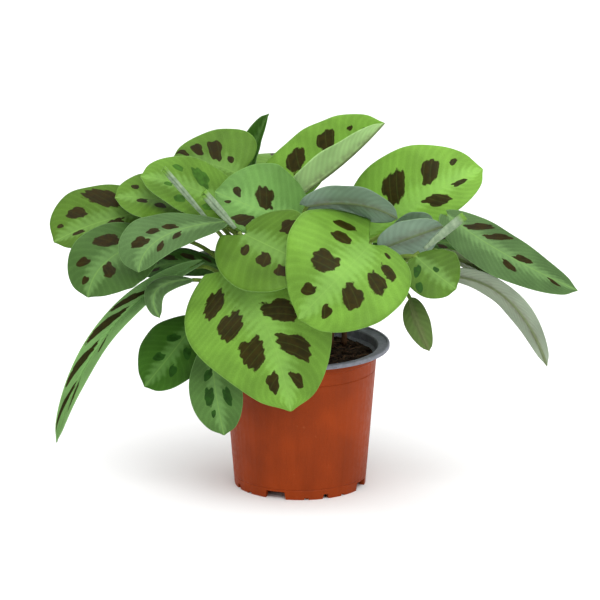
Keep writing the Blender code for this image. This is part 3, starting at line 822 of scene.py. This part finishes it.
def leaf_material():
    """A prayer plant's leaf: spots between a pale feathered middle and a thin pale margin."""
    s = Shader("prayer_plant_leaf", 0.4, Specular_IOR_Level=0.07)
    out, aside, edge = s.stored("out"), s.stored("aside"), s.stored("edge")
    underside, stalk = s.stored("underside"), s.stored("stalk")
    fine, patch, broad = s.noise(1500), s.noise(260), s.noise(45, 2.0)
    wave = s.math("SINE", s.math("MULTIPLY", s.stored("vein"), 2 * math.pi))
    wave01 = s.math("MULTIPLY_ADD", wave, 0.5, 0.5)

    # The blade's own green, mottled, and darker in the furrows between the side veins and lighter on their
    # ridges: painted shade and light.
    green = s.stored("leaf_color", "Color")
    green = s.scaled(green, s.step(broad, 0.25, 0.75, 0.82, 1.16))
    green = s.scaled(green, s.step(wave01, 0.0, 1.0, 0.96, 1.03))
    green = s.scaled(green, s.step(fine, 0.3, 0.7, 0.93, 1.07))

    # The pale band along the midrib runs out along the side veins.
    reach = s.math("MULTIPLY_ADD", wave, 0.05, s.math("MULTIPLY_ADD", patch, 0.35, 0.02))
    band = s.step(s.math("SUBTRACT", out, reach), -0.12, 0.22, 1.0, 0.0)
    pale = s.mix(0.4, s.scaled(green, 1.7), PALE_BAND)
    color = s.mix(s.math("MULTIPLY", band, 0.6), green, pale)

    # The spots, with ragged ends.
    ragged = s.math("MULTIPLY_ADD", s.math("SUBTRACT", patch, 0.5), 0.4, s.stored("spot"))
    ragged = s.math("MULTIPLY_ADD", wave, 0.07, ragged)
    ragged = s.math("MULTIPLY_ADD", s.math("SUBTRACT", fine, 0.5), 0.15, ragged)
    spot = s.step(ragged, -0.02, 0.10)
    spot_color = s.scaled(s.stored("spot_color", "Color"), s.step(patch, 0.3, 0.7, 0.8, 1.35))
    spot_color = s.mix(s.step(wave01, 0.9, 1.0, 0.0, 0.03), spot_color, green)
    color = s.mix(s.math("MULTIPLY", spot, 0.97), color, spot_color)

    # Side veins as thin lighter lines, the midrib and the margin.
    vein = s.math("MULTIPLY", s.step(wave01, 0.93, 1.0), s.step(out, 0.9, 1.0, 0.06, 0.0))
    vein = s.math("MULTIPLY", vein, s.step(spot, 0.0, 1.0, 1.0, 0.25))
    color = s.mix(vein, color, pale)
    midrib = s.step(aside, 0.25, 0.60, 0.42, 0.0)
    color = s.mix(midrib, color, s.mix(0.5, pale, MIDRIB_COLOR))
    margin = s.step(edge, 0.25, 0.75, 0.55, 0.0)
    color = s.mix(margin, color, pale)

    # The underside: silvery, with a purple flush beside the midrib.
    flush = s.math("MULTIPLY", s.step(out, 0.05, 0.5, 1.0, 0.0), s.step(patch, 0.3, 0.7, 0.15, 0.5))
    silver = s.stored("under_color", "Color")
    silver = s.scaled(silver, s.step(broad, 0.3, 0.7, 0.88, 1.12))
    # Painted shade and light: the silver is darker in the grooves of the vein bump and lighter on its
    # ridges.
    silver = s.scaled(silver, s.step(wave01, 0.0, 1.0, 0.94, 1.03))
    silver = s.mix(flush, silver, UNDER_PURPLE)
    silver = s.mix(s.step(aside, 0.6, 1.6, 0.7, 0.0), silver, UNDER_MIDRIB)
    color = s.mix(underside, color, silver)

    # The stalk: green above and brown in the sheath at its foot.
    stalk_color = s.mix(s.step(stalk, 1.35, 1.9), STALK_GREEN, STALK_BROWN)
    stalk_color = s.scaled(stalk_color, s.step(patch, 0.3, 0.7, 0.8, 1.2))
    color = s.mix(s.step(stalk, 0.5, 0.9), color, stalk_color)

    s.bump(s.math("MULTIPLY_ADD", fine, 0.35, wave01), 0.0002, 0.4)
    return s.finish(color, s.step(patch, 0.3, 0.7, 0.36, 0.48))


def shoot_material():
    """The silvery underside of a blade that is still rolled up, greener at its end, on a green stalk."""
    s = Shader("rolled_leaf", 0.45, Specular_IOR_Level=0.14)
    wave = s.math("SINE", s.math("MULTIPLY", s.stored("vein"), 2 * math.pi))
    patch = s.noise(300)
    silver = s.mix(s.step(patch, 0.3, 0.7), ROLL_SHADED, ROLL_PALE)
    # Painted shade and light: darker in the grooves of the vein bump and lighter on its ridges.
    silver = s.scaled(silver, s.step(wave, -1.0, 1.0, 0.96, 1.04))
    color = s.mix(s.step(s.stored("along"), 0.84, 0.98), silver, ROLL_TIP)
    color = s.mix(s.stored("stalk"), color, STALK_GREEN)
    s.bump(wave, 0.0001, 0.15)
    return s.finish(color)


def pot_material():
    """Thin moulded plastic: terracotta outside, and grey on the lip's flange and inside."""
    s = Shader("pot_plastic", 0.5, Specular_IOR_Level=0.10)
    split = s.nodes.new("ShaderNodeSeparateXYZ")
    s.links.new(s.position(), split.inputs[0])
    across = s.math("POWER", split.outputs[0], 2.0)
    deep = s.math("POWER", split.outputs[1], 2.0)
    radius = s.math("SQRT", s.math("ADD", across, deep))
    height = split.outputs[2]
    fine, patch, broad = s.noise(2600, 2.0), s.noise(320, 4.0), s.noise(28, 2.0)
    streak = s.noise(60, 3.0, stretch=(1.0, 1.0, 0.12))
    # Broad random patches of painted shade, from the clay's shaded copy.
    clay = s.mix(s.step(broad, 0.3, 0.7), POT_CLAY, POT_CLAY_SHADED)
    clay = s.scaled(clay, s.step(streak, 0.3, 0.7, 0.90, 1.10))
    clay = s.scaled(clay, s.step(fine, 0.3, 0.7, 0.93, 1.07))
    scuff = s.step(patch, 0.66, 0.78, 0.0, 0.16)
    clay = s.mix(scuff, clay, POT_SCUFF)
    grey = s.scaled(POT_GREY, s.step(patch, 0.3, 0.7, 0.82, 1.18))
    grey = s.mix(s.step(s.noise(700), 0.62, 0.72, 0.0, 0.5), grey, POT_DIRT)
    lip_low = POT_HEIGHT - LIP_DEPTH
    lip = s.step(height, lip_low * MM, (lip_low + LIP_BLEND) * MM)
    wall = s.math("MULTIPLY_ADD", height, WALL_SLOPE, WALL_LOW_RADIUS * MM)
    collar = s.step(height, COLLAR_LOW * MM, COLLAR_HIGH * MM, 0.0, COLLAR_STEP * MM)
    inside = s.math("LESS_THAN", radius, s.math("ADD", wall, collar))
    above_floor = s.math("GREATER_THAN", height, FLOOR_TOP * MM)
    grey_share = s.math("MAXIMUM", lip, s.math("MULTIPLY", inside, above_floor))
    color = s.mix(grey_share, clay, grey)
    s.bump(s.math("MULTIPLY_ADD", fine, 0.5, patch), 0.00012, 0.4)
    return s.finish(color, s.step(patch, 0.3, 0.7, 0.42, 0.58))


def peat_material():
    """Dark peat in crumbs, with the odd paler grain."""
    s = Shader("peat", 0.95, Specular_IOR_Level=0.15)
    crumbs, grains, fine = s.noise(420, 6.0), s.noise(1400, 3.0), s.noise(3000, 2.0)
    # The peat is darkest in the hollows of its crumb bump: partly its own dark colour and partly painted
    # shade.
    color = s.mix(s.step(crumbs, 0.35, 0.7), PEAT_DARK, PEAT_BROWN)
    color = s.mix(s.step(grains, 0.66, 0.76, 0.0, 0.6), color, PEAT_GRAIN)
    s.bump(s.math("MULTIPLY_ADD", fine, 0.4, crumbs), 0.0012, 0.9)
    return s.finish(color)


def fibre_material():
    """Brown roots and bark fibres."""
    s = Shader("peat_fibres", 0.85, Specular_IOR_Level=0.2)
    tone = s.noise(220, 3.0)
    color = s.mix(s.step(tone, 0.3, 0.7), FIBRE_DARK, FIBRE_PALE)
    s.bump(s.noise(4000, 2.0), 0.0001, 0.5)
    return s.finish(color)


def lumps(x, y, draws, count, widths):
    """A smooth random height over the plane, from waves in all directions."""
    height = np.zeros_like(x)
    for _ in range(count):
        angle, width = draws.uniform(0, 2 * math.pi), draws.uniform(*widths)
        phase = draws.uniform(0, 2 * math.pi)
        height += np.sin((x * math.cos(angle) + y * math.sin(angle)) * 2 * math.pi / width + phase)
    return height / math.sqrt(count)


def edge_sink(reach):
    """How far the peat sinks towards the pot's wall, at this reach from the pot's axis."""
    return EDGE_DEPTH * max(0.0, (reach - EDGE_START) / EDGE_WIDTH) ** 2


def make_soil(material):
    """The potting mix: a lumpy top over a plain closed body that stays inside the pot."""
    rings, sides = PEAT_RINGS, PEAT_SIDES
    draws = np.random.default_rng(PEAT_SEED)
    angles = np.arange(sides) * 2 * math.pi / sides
    circle = np.stack([np.cos(angles), np.sin(angles)], axis=1)
    points = [[0.0, 0.0, PEAT_SIDE[0][1]]]
    for radius, height in PEAT_SIDE:
        points += [[*(radius * place), height] for place in circle]
    for step in range(rings):
        radius = PEAT_RADIUS * (1 - step / rings) ** RING_CROWDING
        height = SOIL_TOP - PEAT_DROP - edge_sink(radius)
        points += [[*(radius * place), height] for place in circle]
    points.append([0.0, 0.0, SOIL_TOP - PEAT_DROP])
    points = np.array(points)
    top = slice(1 + 2 * sides, None)
    x, y = points[top, 0], points[top, 1]
    bumps = 0.55 * lumps(x, y, draws, 14, (9, 22)) + 0.45 * lumps(x, y, draws, 30, (2.2, 5.5))
    points[top, 2] += bumps - 0.4
    faces = []
    for i in range(sides):
        j = (i + 1) % sides
        faces.append((0, 1 + j, 1 + i))
        for start in range(1, 1 + sides * (rings + 1), sides):
            faces.append((start + i, start + j, start + j + sides, start + i + sides))
        last = 1 + sides * (rings + 1)
        faces.append((last + i, last + j, len(points) - 1))
    soil = add_object("peat", points, faces, material)
    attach(soil, "root")
    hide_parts("potting_mix")


def small_ball(rows, sides):
    """The points of a ball of radius 1: its lower end, the rings between, then its upper end."""
    ball = [(0.0, 0.0, -1.0)]
    for row in range(1, rows):
        fall = math.pi * row / rows
        for side in range(sides):
            turn = 2 * math.pi * side / sides
            ball.append((math.sin(fall) * math.cos(turn), math.sin(fall) * math.sin(turn), -math.cos(fall)))
    return np.array([*ball, (0.0, 0.0, 1.0)])


def make_crumbs(material):
    """Loose crumbs of peat on the surface, each a small uneven ball."""
    draws = np.random.default_rng(CRUMB_SEED)
    points, faces = [], []
    rows, sides = CRUMB_ROWS, CRUMB_SIDES
    ball = small_ball(rows, sides)
    for _ in range(CRUMBS):
        angle, reach = draws.uniform(0, 2 * math.pi), 49.0 * math.sqrt(draws.uniform(0, 1))
        size = draws.uniform(0.5, 1.5) * (1.5 if draws.uniform() > 0.9 else 1.0)
        flat, turned = draws.uniform(0.5, 0.9), draws.uniform(0, math.pi)
        middle = np.array([reach * math.cos(angle), reach * math.sin(angle), SOIL_TOP - 0.7])
        middle[2] -= edge_sink(reach)
        start = len(points)
        shape = ball * draws.uniform(0.75, 1.2, (len(ball), 1)) * size
        shape[:, 2] *= flat
        spun = shape.copy()
        spun[:, 0] = shape[:, 0] * math.cos(turned) * 1.3 - shape[:, 1] * math.sin(turned)
        spun[:, 1] = shape[:, 0] * math.sin(turned) * 1.3 + shape[:, 1] * math.cos(turned)
        points += (spun + middle).tolist()
        for side in range(sides):
            nearby = (side + 1) % sides
            faces.append((start, start + 1 + nearby, start + 1 + side))
            for row in range(rows - 2):
                low = start + 1 + row * sides
                faces.append((low + side, low + nearby, low + nearby + sides, low + side + sides))
            last = start + 1 + (rows - 2) * sides
            faces.append((last + side, last + nearby, start + len(ball) - 1))
    crumbs = add_object("peat_crumbs", points, faces, material)
    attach(crumbs, "root")


def make_fibres(material):
    """Thin curved fibres that lie on the peat."""
    draws = np.random.default_rng(FIBRE_SEED)
    points, faces = [], []
    sides, stations = FIBRE_SIDES, FIBRE_STATIONS
    for _ in range(FIBRES):
        angle, reach = draws.uniform(0, 2 * math.pi), 40.0 * math.sqrt(draws.uniform(0, 1))
        heading, length = draws.uniform(0, 2 * math.pi), draws.uniform(4, 15)
        bend, radius = draws.uniform(-1.4, 1.4), draws.uniform(0.10, 0.26)
        place = np.array([reach * math.cos(angle), reach * math.sin(angle), SOIL_TOP + 0.2])
        start = len(points)
        for station in range(stations):
            share = station / (stations - 1)
            way = heading + bend * share
            ahead = np.array([math.cos(way), math.sin(way), 0.0])
            lift = np.array([0, 0, 1.1 * math.sin(math.pi * share) * abs(bend)])
            thin = radius * (1 - 0.6 * abs(2 * share - 1) ** 3)
            side_way = np.array([-ahead[1], ahead[0], 0.0])
            for side in range(sides):
                turn = 2 * math.pi * side / sides
                offset = side_way * math.cos(turn) + np.array([0, 0, math.sin(turn)])
                points.append(place + lift + thin * offset)
            place = place + ahead * length / (stations - 1)
        for station in range(stations - 1):
            low = start + station * sides
            for side in range(sides):
                nearby = (side + 1) % sides
                faces.append((low + side, low + nearby, low + nearby + sides, low + side + sides))
        faces.append(tuple(start + side for side in reversed(range(sides))))
        last = start + (stations - 1) * sides
        faces.append(tuple(last + side for side in range(sides)))
    fibres = add_object("peat_fibres", points, faces, material)
    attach(fibres, "root")


def make_floor():
    """A wide pale floor."""
    corners = [(-1, -1), (1, -1), (1, 1), (-1, 1)]
    mesh = bpy.data.meshes.new("floor")
    mesh.from_pydata([(x * FLOOR_HALF, y * FLOOR_HALF, 0) for x, y in corners], [], [(0, 1, 2, 3)])
    floor = bpy.data.objects.new("floor", mesh)
    bpy.context.collection.objects.link(floor)
    s = Shader("floor_paint", 0.9, Specular_IOR_Level=0.1)
    tone = s.step(s.noise(3.0, 2.0), 0.3, 0.7, 0.97, 1.0)
    mesh.materials.append(s.finish(s.scaled(FLOOR_WHITE, tone)))


def add_light(name, place, size, power):
    """A square soft light that faces the plant."""
    data = bpy.data.lights.new(name, "AREA")
    data.shape = "SQUARE"
    data.size = size
    data.energy = power
    light = bpy.data.objects.new(name, data)
    light.location = place
    light.rotation_euler = (Vector(LIGHT_AIM) - Vector(place)).to_track_quat("-Z", "Y").to_euler()
    bpy.context.collection.objects.link(light)


def make_studio():
    """Soft light from the front right and from above, and a bright even surround."""
    bpy.context.scene.view_settings.view_transform = "Standard"
    world = bpy.data.worlds.new("studio")
    world.use_nodes = True
    background = world.node_tree.nodes["Background"]
    background.inputs["Color"].default_value = (1.0, 1.0, 1.0, 1.0)
    background.inputs["Strength"].default_value = SURROUND_STRENGTH
    bpy.context.scene.world = world
    for light in LIGHTS:
        add_light(*light)


def make_camera():
    """A long lens at the height of the plant's middle, looking slightly down."""
    elevation = math.radians(CAMERA_ELEVATION)
    aim = Vector(CAMERA_AIM)
    data = bpy.data.cameras.new("camera")
    data.lens = CAMERA_LENS
    data.sensor_width = CAMERA_SENSOR
    data.clip_end = CAMERA_REACH
    camera = bpy.data.objects.new("camera", data)
    camera.location = aim + CAMERA_DISTANCE * Vector((0, -math.cos(elevation), math.sin(elevation)))
    camera.rotation_euler = (aim - camera.location).to_track_quat("-Z", "Y").to_euler()
    bpy.context.collection.objects.link(camera)
    bpy.context.scene.camera = camera


def finish_pot():
    """The frame's own pot, in its two-coloured plastic."""
    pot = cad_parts["pot"]
    pot.data.materials.clear()
    pot.data.materials.append(pot_material())


def main():
    """Builds every visible piece, then the floor, the lights and the camera."""
    finish_pot()
    peat = peat_material()
    make_soil(peat)
    make_crumbs(peat)
    make_fibres(fibre_material())
    leaf_look = leaf_material()
    leaves = LEAVES + [back_leaf(i, *numbers) for i, numbers in enumerate(BACK_LEAVES, 1)]
    for seed, leaf in enumerate(leaves):
        make_leaf(leaf, leaf_look, seed)
    roll_look = shoot_material()
    for shoot in SHOOTS:
        make_shoot(shoot, roll_look)
    make_floor()
    make_studio()
    make_camera()


main()
